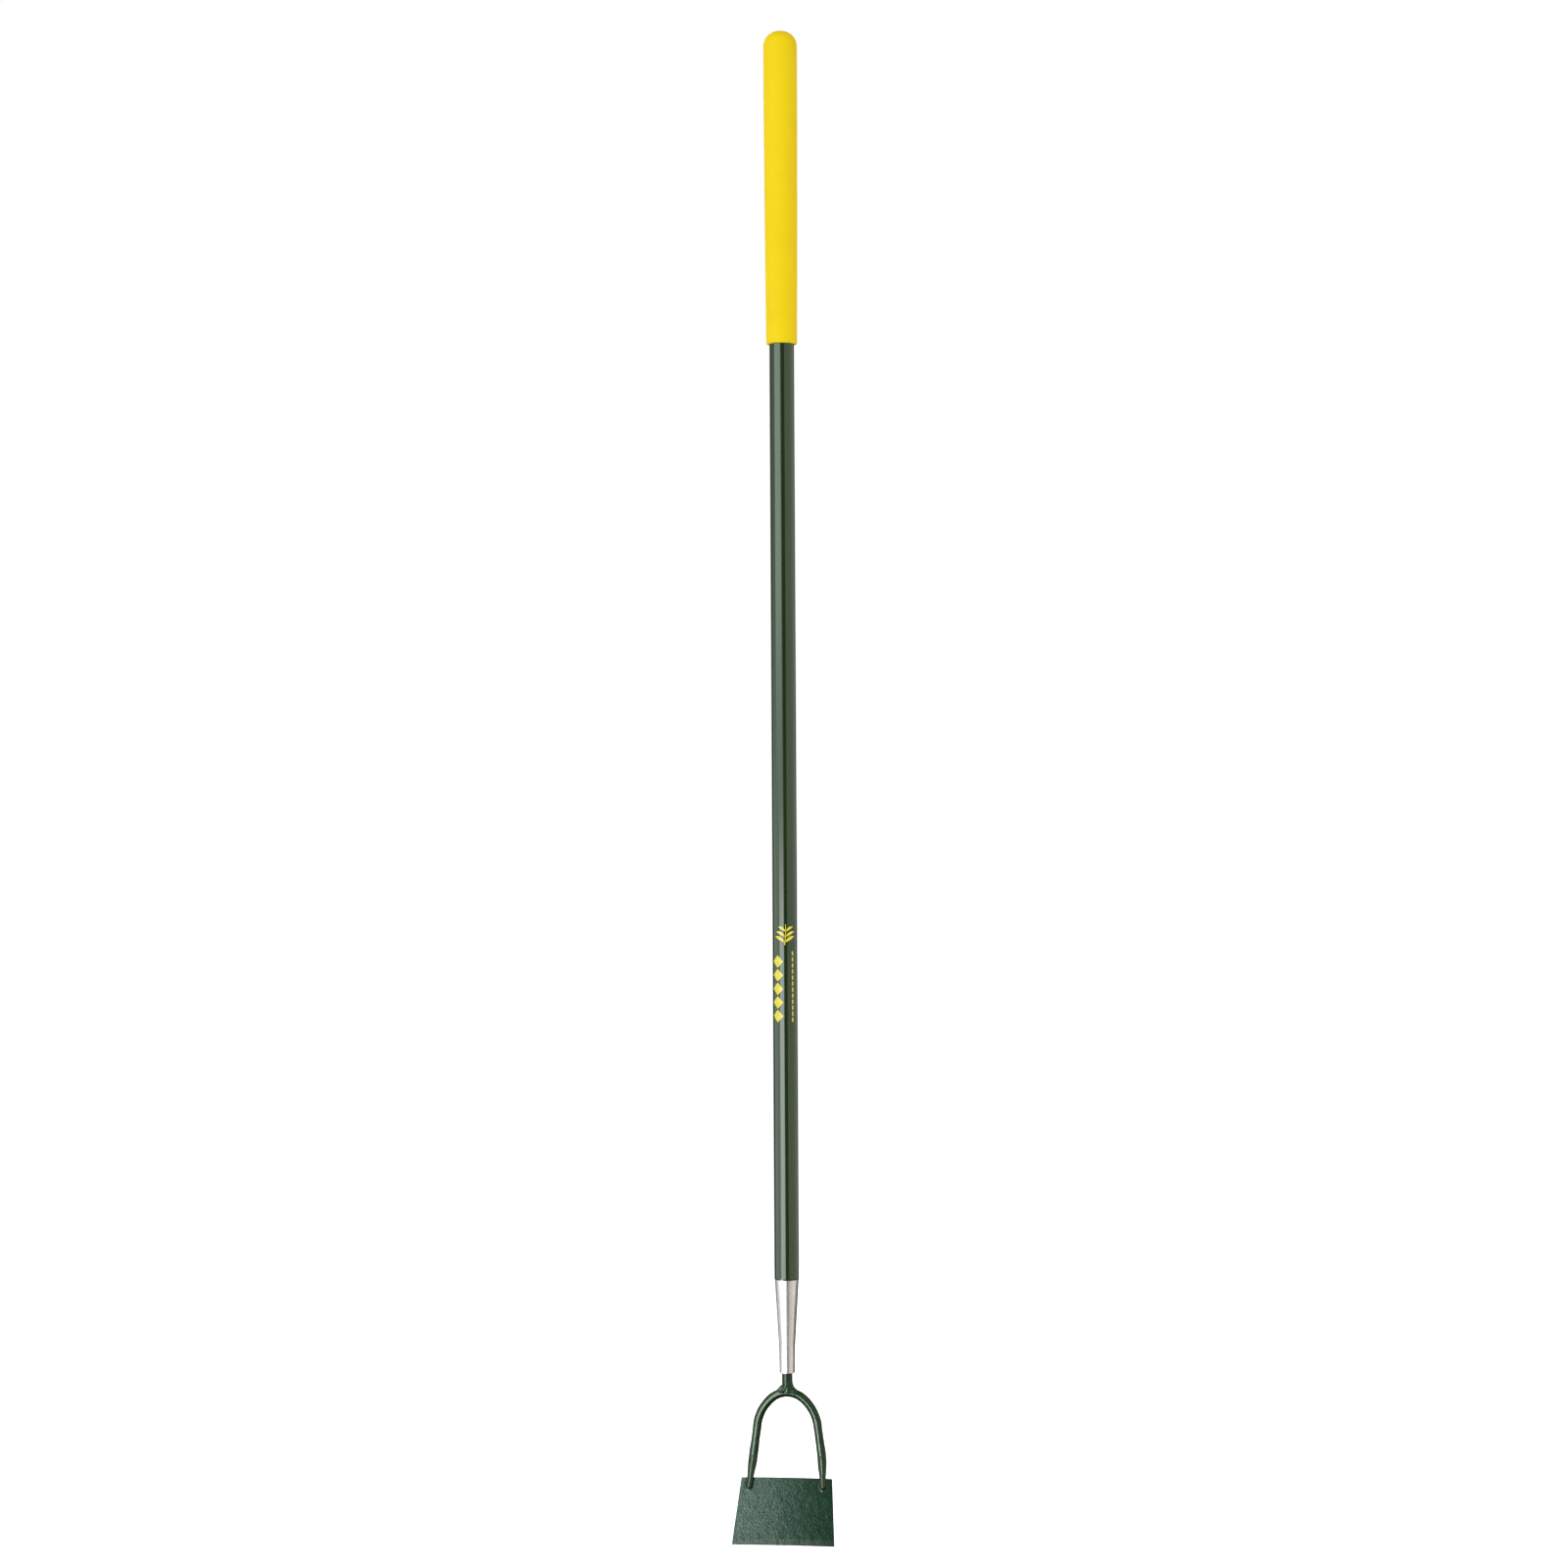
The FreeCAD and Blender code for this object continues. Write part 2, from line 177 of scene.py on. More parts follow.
def panel(name, azimuths, heights, radiance, kind="gloss", fade=None, colour=WHITE):
    """Upright panel facing the handle, with the matt ones a little nearer than the gloss ones.

    azimuths and heights (from eye level) are its ends. fade is a height where its light is
    fully up, one where it is down, and the share that is left there.
    """
    half_turn = math.radians(azimuths[1] - azimuths[0]) / 2
    distance = PANEL_DISTANCE if kind == "gloss" else PANEL_DISTANCE - PANEL_GAP
    middle = around(sum(azimuths) / 2, distance, eye_height + sum(heights) / 2)
    size = (2 * distance * math.tan(half_turn), heights[1] - heights[0])
    lamp = hang(name, middle, Vector((0, 0, middle.z)), size, radiance, kind, colour)
    if fade:
        up, down, left = fade
        dim_along(lamp, 1, [(h - heights[0]) / lamp.size_y for h in (down, up)], left)


# heights from eye level that several panels share
LOW, FOOT, HIGH = -1.45, -0.95, 1.65
MATT_LOW, MATT_HIGH = -1.0, 1.4

# the bands along the handle
panel("wash", (-108, -2), (FOOT, HIGH), 1.3, fade=(-0.34, 0.56, 0.4))
panel("upper_core", (-67, -10), (-0.2, HIGH), 2.1, fade=(0.43, -0.12, 0.0))
panel("lower_core", (-43, -4), (-0.8, 0.0), 3.4, fade=(-0.27, 0.0, 0.0), colour=ROSE)
panel("warm_wall", (28, 137), (FOOT, HIGH), 0.76, colour=WARM)
# the same round the ferrule and the head
panel("foot_wash", (-122, -46), (LOW, FOOT), 0.55)
panel("foot_white", (-46, 2), (LOW, -0.8), 1.1)
panel("foot_gap", (2, 28), (LOW, FOOT), 0.25)
panel("foot_wall", (28, 96), (LOW, FOOT), 0.6, colour=WARM)
panel("foot_core", (-52, -28), (-1.35, -0.86), 5.5)
# soft light on matt surfaces, the rear and the bow
panel("key_matt", (-62, 5), (MATT_LOW, MATT_HIGH), 1.55, "matt")
panel("side_matt", (-112, -74), (MATT_LOW, MATT_HIGH), 0.75, "matt")
panel("wall_matt", (28, 137), (-1.2, MATT_HIGH), 1.1, "matt", colour=WARM)
panel("rear_gloss", (158, 226), (LOW, HIGH), 0.7)
panel("bow_core", (-38, -4), (-1.4, -0.3), 11.5, colour=LEAFY)
panel("rear_matt", (150, 240), (LOW, MATT_HIGH), 1.2, "matt")

# a close lamp that the tilted blade mirrors, so that its light falls off across the blade
CLOSE_DISTANCE = 0.5
head_place = Vector((0, -0.03, floor_height + 0.04))
overhead_place = head_place + CLOSE_DISTANCE * Vector((-0.13, -0.56, 0.82))
overhead = hang("overhead", overhead_place, head_place, (0.36, 0.34), 2.3, colour=COOL)
dim_along(overhead, 0, (0.57, 0.46), 0.0)

# a strip that the bow's forward-bent ends mirror
strip_place = head_place + CLOSE_DISTANCE * Vector((-0.22, -0.55, 0.8))
hang("bow_strip", strip_place, head_place, (0.2, 0.4), 9.0, colour=LEAFY)

# the pale floor's light on the underside of the blade
bounce_place = Vector((0, 0.15, floor_height - PANEL_GAP))
bounce_target = bounce_place + Vector((0, 0, 1))
hang("floor_bounce", bounce_place, bounce_target, (0.9, 0.9), 0.35, "both")

# a high soft lamp for the dome
crown_place = Vector((-0.4, -0.8, grip_high.z + 1.3))
hang("crown_light", crown_place, Vector((0, 0, grip_high.z)), (1.3, 1.3), 1.6, "matt")


def mix_shaders(tree, share, first, second):
    inputs = {0: share, 1: first.outputs[0], 2: second.outputs[0]}
    return add_node(tree, "ShaderNodeMixShader", inputs)


def grey(level):
    return (level, level, level, 1)


WORLD_SEEN = 1.0
WORLD_MIRRORED = 0.03
WORLD_FILL = 0.28


def make_world():
    """White to the eye, dim in reflections, and an even soft fill on matt surfaces."""
    world = bpy.data.worlds.new("studio")
    scene.world = world
    tree = node_tree(world)
    path = add_node(tree, "ShaderNodeLightPath")
    white, dim, fill = [
        add_node(tree, "ShaderNodeBackground", {"Color": grey(1), "Strength": strength})
        for strength in (WORLD_SEEN, WORLD_MIRRORED, WORLD_FILL)
    ]
    unseen = mix_shaders(tree, path.outputs["Is Glossy Ray"], fill, dim)
    shown = mix_shaders(tree, path.outputs["Is Camera Ray"], unseen, white)
    add_node(tree, "ShaderNodeOutputWorld", {"Surface": shown.outputs[0]})


make_world()


def new_object(name, mesh):
    made = bpy.data.objects.new(name, mesh)
    scene.collection.objects.link(made)
    return made


def mesh_from(bm, name):
    """Finishes a bmesh as an object with outward faces."""
    bmesh.ops.recalc_face_normals(bm, faces=bm.faces)
    mesh = bpy.data.meshes.new(name)
    bm.to_mesh(mesh)
    bm.free()
    return new_object(name, mesh)


def skin_sheets(bm, upper, lower):
    """Faces over two sheets of the same rows of vertices, and round their rims."""
    for sheet in (upper, lower):
        for row, following in zip(sheet, sheet[1:]):
            for i in range(len(row) - 1):
                bm.faces.new((row[i], row[i + 1], following[i + 1], following[i]))
    rims = []
    for sheet in (upper, lower):
        right, left = [row[-1] for row in sheet[1:]], [row[0] for row in sheet[-2:0:-1]]
        rims.append(sheet[0] + right + sheet[-1][-2::-1] + left)
    above, below = rims
    for i in range(len(above)):
        j = (i + 1) % len(above)
        bm.faces.new((above[i], above[j], below[j], below[i]))


FLOOR_RADIUS = 14.0
FLOOR_SEGMENTS = 96
PAPER_GREY = 0.9
PAPER_GLOW = 0.8
UNSEEN_GREY = 0.4


def make_floor():
    """Paper that glows softly to the camera and is a dull grey to other rays."""
    bm = bmesh.new()
    bmesh.ops.create_circle(bm, cap_ends=True, segments=FLOOR_SEGMENTS, radius=FLOOR_RADIUS)
    floor = mesh_from(bm, "studio_floor")
    floor.location.z = floor_height
    material = bpy.data.materials.new("studio_paper")
    tree = node_tree(material)
    path = add_node(tree, "ShaderNodeLightPath")
    dull = add_node(tree, "ShaderNodeBsdfDiffuse", {"Color": grey(UNSEEN_GREY)})
    paper = add_node(tree, "ShaderNodeBsdfDiffuse", {"Color": grey(PAPER_GREY)})
    glow = add_node(tree, "ShaderNodeEmission", {"Color": grey(1), "Strength": PAPER_GLOW})
    shown = add_node(tree, "ShaderNodeAddShader", {0: paper.outputs[0], 1: glow.outputs[0]})
    both = mix_shaders(tree, path.outputs["Is Camera Ray"], dull, shown)
    add_node(tree, "ShaderNodeOutputMaterial", {"Surface": both.outputs[0]})
    floor.data.materials.append(material)
    floor.visible_glossy = False
    floor.visible_shadow = False


make_floor()


# ---------------------------------------------------------------- materials
# noise values between which a pattern goes from its first to its second look
SOFT = (0.3, 0.7)
CRISP = (0.4, 0.6)


def pattern(tree, scale, stretch=(1, 1, 1), detail=2.0):
    """Noise in the tool's own coordinates. Its features are about scale metres across."""
    place = add_node(tree, "ShaderNodeTexCoord")
    mapping = add_node(
        tree, "ShaderNodeMapping", {"Vector": place.outputs["Object"], "Scale": stretch}
    )
    inputs = {"Vector": mapping.outputs[0], "Scale": 1 / scale, "Detail": detail}
    return add_node(tree, "ShaderNodeTexNoise", inputs).outputs["Fac"]


def spread(tree, value, low, high, limits=SOFT):
    """Maps a noise value onto a range of numbers."""
    return add_node(
        tree,
        "ShaderNodeMapRange",
        {0: value, 1: limits[0], 2: limits[1], 3: low, 4: high},
    ).outputs[0]


def mix_colours(tree, share, first, second):
    """Mixes two colours, each three numbers or a node's output."""
    ends = [c if isinstance(c, bpy.types.NodeSocket) else (*c, 1) for c in (first, second)]
    inputs = {0: share, 6: ends[0], 7: ends[1]}  # 6 and 7 are the node's colour sockets
    return add_node(tree, "ShaderNodeMix", inputs, data_type="RGBA").outputs[2]


def tint(tree, value, first, second):
    """Mixes two colours softly by a noise value."""
    return mix_colours(tree, spread(tree, value, 0.0, 1.0), first, second)


def bumps(tree, *layers):
    """Stacks bump layers, each (height, strength, distance in metres), and returns the normal."""
    normal = None
    for height, strength, distance in layers:
        inputs = {"Height": height, "Strength": strength, "Distance": distance}
        if normal is not None:
            inputs["Normal"] = normal
        normal = add_node(tree, "ShaderNodeBump", inputs).outputs[0]
    return normal


def finish_material(tree, inputs):
    shader = add_node(tree, "ShaderNodeBsdfPrincipled", inputs)
    add_node(tree, "ShaderNodeOutputMaterial", {"Surface": shader.outputs[0]})


def tube_paint():
    """Smooth dark green gloss with a faint orange peel."""
    material = bpy.data.materials.new("tube_gloss")
    tree = node_tree(material)
    cloud = pattern(tree, 40 * MM, (1, 1, 0.35), detail=3)
    peel = pattern(tree, 2.6 * MM, (1, 1, 0.6), detail=1)
    dust = pattern(tree, 0.5 * MM, detail=1)
    finish_material(
        tree,
        {
            "Base Color": tint(tree, cloud, (0.0115, 0.027, 0.0055), (0.0150, 0.032, 0.0075)),
            "Roughness": spread(tree, dust, 0.14, 0.22),
            "Specular IOR Level": 0.5,
            "Specular Tint": (0.62, 1.0, 0.76, 1),
            "Coat Weight": 1.0,
            "Coat Roughness": 0.05,
            "Coat IOR": 1.5,
            "Normal": bumps(tree, (peel, 0.12, 0.05 * MM)),
        },
    )
    return material


def head_paint(name, gloss, relief):
    """Thick dark green paint over forged and welded steel.

    gloss is the weight of its clear coat, and relief scales the depth of its bumps.
    """
    material = bpy.data.materials.new(name)
    tree = node_tree(material)
    cloud = pattern(tree, 9 * MM, detail=4)
    lumps = pattern(tree, 2.2 * MM, detail=2)
    grit = pattern(tree, 0.9 * MM, detail=2)
    patchy = tint(tree, cloud, (0.007, 0.026, 0.007), (0.015, 0.043, 0.014))
    # pits is 0 where the grit dips: there the base colour goes dark, painted shade in the pits
    pits = spread(tree, grit, 0.0, 1.0, CRISP)
    lumpy, gritty = (lumps, 0.7, relief * 0.4 * MM), (grit, 0.6, relief * 0.2 * MM)
    finish_material(
        tree,
        {
            # the near-black colour in the grit's low spots is painted shade in the pits
            "Base Color": mix_colours(tree, pits, (0.003, 0.012, 0.003), patchy),
            "Roughness": spread(tree, grit, 0.3, 0.42),
            "Specular IOR Level": 0.2,
            "Specular Tint": (0.5, 1.0, 0.6, 1),
            "Coat Weight": spread(tree, grit, 0.75 * gloss, gloss, CRISP),
            "Coat Roughness": 0.1,
            "Coat IOR": 1.55,
            "Normal": bumps(tree, lumpy, gritty),
        },
    )
    return material


def blade_paint():
    """The head's green, rougher, and speckled with fine pits whose darker colour is painted shade.
    """
    material = bpy.data.materials.new("blade_gloss")
    tree = node_tree(material)
    cloud = pattern(tree, 22 * MM, detail=3)
    grain = pattern(tree, 0.9 * MM, detail=1)
    # gloss is 0 where the grain dips: there the coat goes and the base colour goes dark, painted
    # shade in the pits
    gloss = spread(tree, grain, 0.0, 1.0, CRISP)
    patchy = tint(tree, cloud, (0.004, 0.036, 0.013), (0.006, 0.046, 0.017))
    finish_material(
        tree,
        {
            # the near-black colour in the grain's low spots is painted shade in the pits
            "Base Color": mix_colours(tree, gloss, (0.002, 0.008, 0.003), patchy),
            "Roughness": 0.32,
            "Specular IOR Level": 0.4,
            "Specular Tint": (0.6, 1.0, 0.8, 1),
            "Coat Weight": gloss,
            "Coat Roughness": 0.18,
            "Normal": bumps(tree, (grain, 0.5, 0.15 * MM)),
        },
    )
    return material


def bright_metal():
    """Plated steel polished along its length."""
    material = bpy.data.materials.new("ferrule_bright")
    tree = node_tree(material)
    streaks = pattern(tree, 0.8 * MM, (1, 1, 0.012), detail=3)
    smears = pattern(tree, 6 * MM, (1, 1, 0.15), detail=2)
    finish_material(
        tree,
        {
            "Base Color": tint(tree, smears, (0.90, 0.885, 0.86), (0.97, 0.96, 0.945)),
            "Metallic": 1.0,
            "Roughness": spread(tree, streaks, 0.2, 0.3),
            "Normal": bumps(tree, (streaks, 0.12, 0.03 * MM), (smears, 0.1, 0.1 * MM)),
        },
    )
    return material


def yellow_foam():
    """Matt closed-cell foam with a soft skin."""
    material = bpy.data.materials.new("foam_skin")
    tree = node_tree(material)
    cloud = pattern(tree, 30 * MM, detail=3)
    cells = pattern(tree, 0.55 * MM, detail=3)
    pits = pattern(tree, 1.8 * MM, detail=2)
    finish_material(
        tree,
        {
            "Base Color": tint(tree, cloud, (0.86, 0.63, 0.002), (0.89, 0.665, 0.004)),
            "Roughness": spread(tree, cells, 0.7, 0.85),
            "Specular IOR Level": 0.22,
            "Specular Tint": (1.0, 0.95, 0.6, 1),
            "Normal": bumps(tree, (cells, 0.35, 0.06 * MM), (pits, 0.2, 0.08 * MM)),
        },
    )
    return material


def black_plastic():
    """Matt moulded plastic."""
    material = bpy.data.materials.new("bush_plastic")
    tree = node_tree(material)
    grain = pattern(tree, 0.4 * MM, detail=2)
    finish_material(
        tree,
        {
            "Base Color": tint(tree, grain, (0.012, 0.012, 0.012), (0.02, 0.02, 0.02)),
            "Roughness": spread(tree, grain, 0.4, 0.55),
            "Normal": bumps(tree, (grain, 0.3, 0.05 * MM)),
        },
    )
    return material


def print_ink():
    """Yellow screen ink, half glossy and a little uneven."""
    material = bpy.data.materials.new("yellow_ink")
    tree = node_tree(material)
    cover = pattern(tree, 1.2 * MM, detail=3)
    finish_material(
        tree,
        {
            "Base Color": tint(tree, cover, (0.72, 0.66, 0.012), (0.85, 0.78, 0.02)),
            "Roughness": spread(tree, cover, 0.25, 0.4),
            "Coat Weight": 0.5,
            "Coat Roughness": 0.08,
        },
    )
    return material


paint_of_tube = tube_paint()
paint_of_bow = head_paint("bow_gloss", 0.5, 2.4)
paint_of_neck = head_paint("neck_paint", 0.75, 2.8)
paint_of_blade = blade_paint()
metal_of_ferrule = bright_metal()
skin_of_grip = yellow_foam()
plastic_of_bush = black_plastic()
ink_of_print = print_ink()


def dress(node, material):
    """Gives a CAD node's object a new material without touching its mesh."""
    for holder in nodes[node].material_slots:
        holder.link = "OBJECT"
        holder.material = material


dress("shank", paint_of_neck)
dress("ferrule", metal_of_ferrule)
dress("tang_bush", plastic_of_bush)
dress("tube_end_plug", plastic_of_bush)


def add_piece(piece, material, slot, *stands_for, sharp=40.0):
    """Shades, paints and mounts a piece on the tool. Edges over sharp degrees stay sharp."""
    piece.data.shade_smooth()
    piece.data.set_sharp_from_angle(angle=math.radians(sharp))
    piece.data.materials.clear()
    piece.data.materials.append(material)
    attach(piece, "root")
    if stands_for:
        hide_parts(*stands_for)


# ---------------------------------------------------------------- turned pieces
def lathe(name, outline, segments):
    """Closed surface turned about the handle's axis from (radius, height) points."""
    bm = bmesh.new()
    rings = []
    for radius, height in outline:
        if radius == 0:
            rings.append([bm.verts.new((0, 0, height))])
            continue
        turns = [2 * math.pi * i / segments for i in range(segments)]
        places = [(radius * math.cos(t), radius * math.sin(t), height) for t in turns]
        rings.append([bm.verts.new(p) for p in places])
    for ring, following in zip(rings, rings[1:] + rings[:1]):
        if len(ring) == 1 and len(following) == 1:
            continue
        for i in range(segments):
            corners = [ring[i % len(ring)], ring[(i + 1) % len(ring)]]
            corners += [following[(i + 1) % len(following)], following[i % len(following)]]
            bm.faces.new(list(dict.fromkeys(corners)))
    return mesh_from(bm, name)


def round_corner(centre, radius, start, end, steps):
    """(radius, height) points on a quarter or so of a circle, in degrees from outward to up."""
    angles = [math.radians(start + (end - start) * i / steps) for i in range(steps + 1)]
    return [(centre[0] + radius * math.cos(a), centre[1] + radius * math.sin(a)) for a in angles]


TUBE_WALL = 1.2 * MM
TUBE_SEGMENTS = 128
EDGE_ROUND = 0.9 * MM
EDGE_STEPS = 6


def make_tube():
    """Handle tube with a rounded lower edge."""
    bore = tube_radius - TUBE_WALL
    corner = (tube_radius - EDGE_ROUND, tube_low.z + EDGE_ROUND)
    outline = round_corner(corner, EDGE_ROUND, -90, 0, EDGE_STEPS)
    outline += [(tube_radius, corner[1] + EDGE_ROUND), (tube_radius, tube_high.z)]
    outline += [(bore, tube_high.z), (bore, tube_low.z)]
    tube = lathe("painted_tube", outline, TUBE_SEGMENTS)
    add_piece(tube, paint_of_tube, "tube_paint", "handle_tube")


SEED_SPREAD = (1, 2.3, 5.1)


def jitter(point, scale, seed):
    """Smooth noise from -1 to 1 with features about scale metres across."""
    return noise.noise(Vector(point) / scale + Vector([seed * s for s in SEED_SPREAD]))


GRIP_PLAY = 0.05 * MM
GRIP_RIM_RADIUS = 15.65 * MM
GRIP_RIM_ROUND = 1.8 * MM
GRIP_RIM_STEPS = 10
GRIP_SEGMENTS = 120
GRIP_SIDE_RINGS = 170
GRIP_SWELL = 0.3 * MM
BORE_MARGIN = 0.1 * MM
AXIS_MARGIN = 0.5 * MM
DOME_FULLNESS = 2.2
DOME_FLAT = 0.6 * MM
DOME_STEPS = 30
FOAM_RELIEF = ((0.07 * MM, 22 * MM, 1), (0.03 * MM, 5 * MM, 2))  # height, size and seed


def make_grip():
    """Foam sleeve: rolled rim, faintly fuller towards the top, round dome, all a little uneven."""
    top_radius = grip_high.x
    dome_base = grip_high.z - top_radius
    rim_top = grip_low.z + GRIP_RIM_ROUND
    rim_inside = GRIP_RIM_RADIUS - GRIP_RIM_ROUND
    bore = tube_radius + GRIP_PLAY
    outline = round_corner((rim_inside, rim_top), GRIP_RIM_ROUND, -90, 0, GRIP_RIM_STEPS)
    for i in range(1, GRIP_SIDE_RINGS):
        t = i / GRIP_SIDE_RINGS
        swell = GRIP_SWELL * 4 * t * (1 - t)
        radius = GRIP_RIM_RADIUS + (top_radius - GRIP_RIM_RADIUS) * t + swell
        outline.append((radius, rim_top + (dome_base - rim_top) * t))
    full = 2 / DOME_FULLNESS
    dome = top_radius - DOME_FLAT
    for i in range(DOME_STEPS):
        t = math.pi / 2 * i / DOME_STEPS
        radius = top_radius * math.cos(t) ** full
        outline.append((radius, dome_base + dome * math.sin(t) ** full))
    outline.append((0, dome_base + dome))
    plug_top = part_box("tube_end_plug")[1].z
    outline += [(0, plug_top), (bore, plug_top), (bore, grip_low.z)]
    grip = lathe("foam_grip", outline, GRIP_SEGMENTS)
    for vertex in grip.data.vertices:
        out = Vector((vertex.co.x, vertex.co.y, 0))
        in_bore = out.length < rim_inside + BORE_MARGIN and vertex.co.z < dome_base
        if in_bore or out.length <= AXIS_MARGIN:
            continue
        shift = sum(h * jitter(vertex.co, size, seed) for h, size, seed in FOAM_RELIEF)
        vertex.co += out.normalized() * shift
    add_piece(grip, skin_of_grip, "grip_foam", "grip", sharp=60)


make_tube()
make_grip()


# ---------------------------------------------------------------- blade
BLADE_LENGTH = 70.0 * MM
BLADE_THICKNESS = 2.5 * MM
BLADE_REAR_WIDTH = 92.4 * MM
BLADE_EDGE_WIDTH = 103.2 * MM
BLADE_CORNER = 1.2 * MM
BEVEL_LENGTH = 6.0 * MM
EDGE_THICKNESS = 0.5 * MM
PAINT_ROUND = 0.45 * MM
MOST_ROUND = 0.45  # share of the plate's thickness that a rounded edge may take
ROUND_STEPS = 5
GRAIN_STEP = 0.42 * MM
GRAIN_HEIGHT = 0.115 * MM
GRAIN_SIZE = 0.85 * MM
GRAIN_DRAWN = 1.4
WAVE_SIZE = 6.0 * MM
WAVE_SHARE = 0.7
DIAGONAL = 0.7071
TOP_LAYER, UNDER_LAYER = 0.3, 0.9
CROWN = 1.3 * MM
CROWN_LEVEL = 0.82  # share of the half width where the crowned plate crosses its flat place

sole = next(m for m in frame["record"]["mounts"] if m["name"] == "sole")


def blade_frame():
    """Matrix from the flat blade (X across, Y from edge to rear, Z out of the top) to its place."""
    out = -Vector(sole["axis"]).normalized()
    across = Vector((1, 0, 0))
    up = out.cross(across)
    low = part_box("blade")[0]
    turn = Matrix((across, up, out)).transposed().to_4x4()
    edge = Vector((0, low.y - EDGE_THICKNESS * out.y, low.z))
    return Matrix.Translation(edge) @ turn


def blade_half_width(along):
    """Half the blade's width at a distance from its cutting edge, with small round corners."""
    share = along / BLADE_LENGTH
    width = (BLADE_EDGE_WIDTH + (BLADE_REAR_WIDTH - BLADE_EDGE_WIDTH) * share) / 2
    inside = min(along, BLADE_LENGTH - along)
    if inside < BLADE_CORNER:
        width -= BLADE_CORNER - math.sqrt(BLADE_CORNER**2 - (BLADE_CORNER - inside) ** 2)
    return width


def steps_with_ends(length, ends, step):
    """Distances from 0 to length, with extra fine ones near both ends."""
    fine = [ends * (1 - math.cos(math.pi / 2 * i / ROUND_STEPS)) for i in range(ROUND_STEPS)]
    count = round((length - 2 * ends) / step)
    inner = [ends + (length - 2 * ends) * i / count for i in range(count + 1)]
    return fine + inner + [length - f for f in reversed(fine)]


def grain_height(x, y, side):
    """Fine relief of the thick paint, drawn out a little along a diagonal."""
    along, across = (x + y) * DIAGONAL, (y - x) * DIAGONAL
    grain = jitter((along / GRAIN_DRAWN, across, side), GRAIN_SIZE, 3)
    wave = jitter((along, across, side), WAVE_SIZE, 4)
    return GRAIN_HEIGHT * (grain + WAVE_SHARE * wave)


def make_blade():
    """Crowned plate with a ground bevel, painted edges and the paint's relief in its faces."""
    place = blade_frame()
    bm = bmesh.new()
    half = BLADE_EDGE_WIDTH / 2
    rows = steps_with_ends(BLADE_LENGTH, PAINT_ROUND, GRAIN_STEP)
    columns = steps_with_ends(2.0, PAINT_ROUND / half, GRAIN_STEP / half)

    def vertex(share, along, top):
        """Vertex at 0 to 2 half widths from the left side and at a distance from the edge."""
        x = (share - 1) * blade_half_width(along)
        full = BLADE_THICKNESS
        if along < BEVEL_LENGTH:
            full = EDGE_THICKNESS + (BLADE_THICKNESS - EDGE_THICKNESS) * along / BEVEL_LENGTH
        side_gap = min(share, 2 - share) * blade_half_width(along)
        gap = min(side_gap, along, BLADE_LENGTH - along)
        rounding = min(PAINT_ROUND, MOST_ROUND * full)
        drop = 0.0
        if gap < rounding:
            drop = rounding - math.sqrt(rounding**2 - (rounding - gap) ** 2)
        relief = grain_height(x, along, TOP_LAYER if top else UNDER_LAYER)
        relief *= min(1.0, gap / (2 * rounding))
        height = full - drop + relief if top else drop - relief
        height += CROWN * (CROWN_LEVEL**2 - (share - 1) ** 2)
        return bm.verts.new(place @ Vector((x, along, height)))

    sheets = [[[vertex(s, a, top) for s in columns] for a in rows] for top in (True, False)]
    skin_sheets(bm, *sheets)
    blade = mesh_from(bm, "blade_plate")
    add_piece(blade, paint_of_blade, "head_paint", "blade", sharp=50)


make_blade()


# ---------------------------------------------------------------- bow
# millimetres, degrees, and heights above the floor
BAR_RADIUS = 4.5
CROWN_ARC_RADIUS = 24.6
CROWN_ARC_ANGLE = 39.6
SIDE_ARC_RADIUS = 42.4
ARM_LEAN = 7.7
KNEE_HEIGHT = 77.5
KNEE_BEND_RADIUS = 22.0
ARM_END_SPLAY = 4.2
ARM_END_HEIGHT = 52.2
ARM_END_RADIUS = 2.75
DRAWN_HEIGHTS = (ARM_END_HEIGHT, 59.5, 71.8, 84.4, 95.0, 110.5)
DRAWN_RADII = (ARM_END_RADIUS, 3.25, 4.65, 4.65, 4.3, BAR_RADIUS)
CROWN_STEPS, SIDE_STEPS, ARM_STEPS, KNEE_STEPS, END_STEPS = 22, 40, 32, 18, 30
DRAWN_SMOOTHING = 4
BAR_SEGMENTS = 48
TIP_RINGS = 6
TIP_TURN = 14
FORGED_RELIEF = 0.16
FORGED_LUMPS = ((1, 7 * MM, 11), (0.4, 2.5 * MM, 12))  # share, size and seed
FULL_RELIEF_RADIUS = 3
crown_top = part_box("bow")[1].z


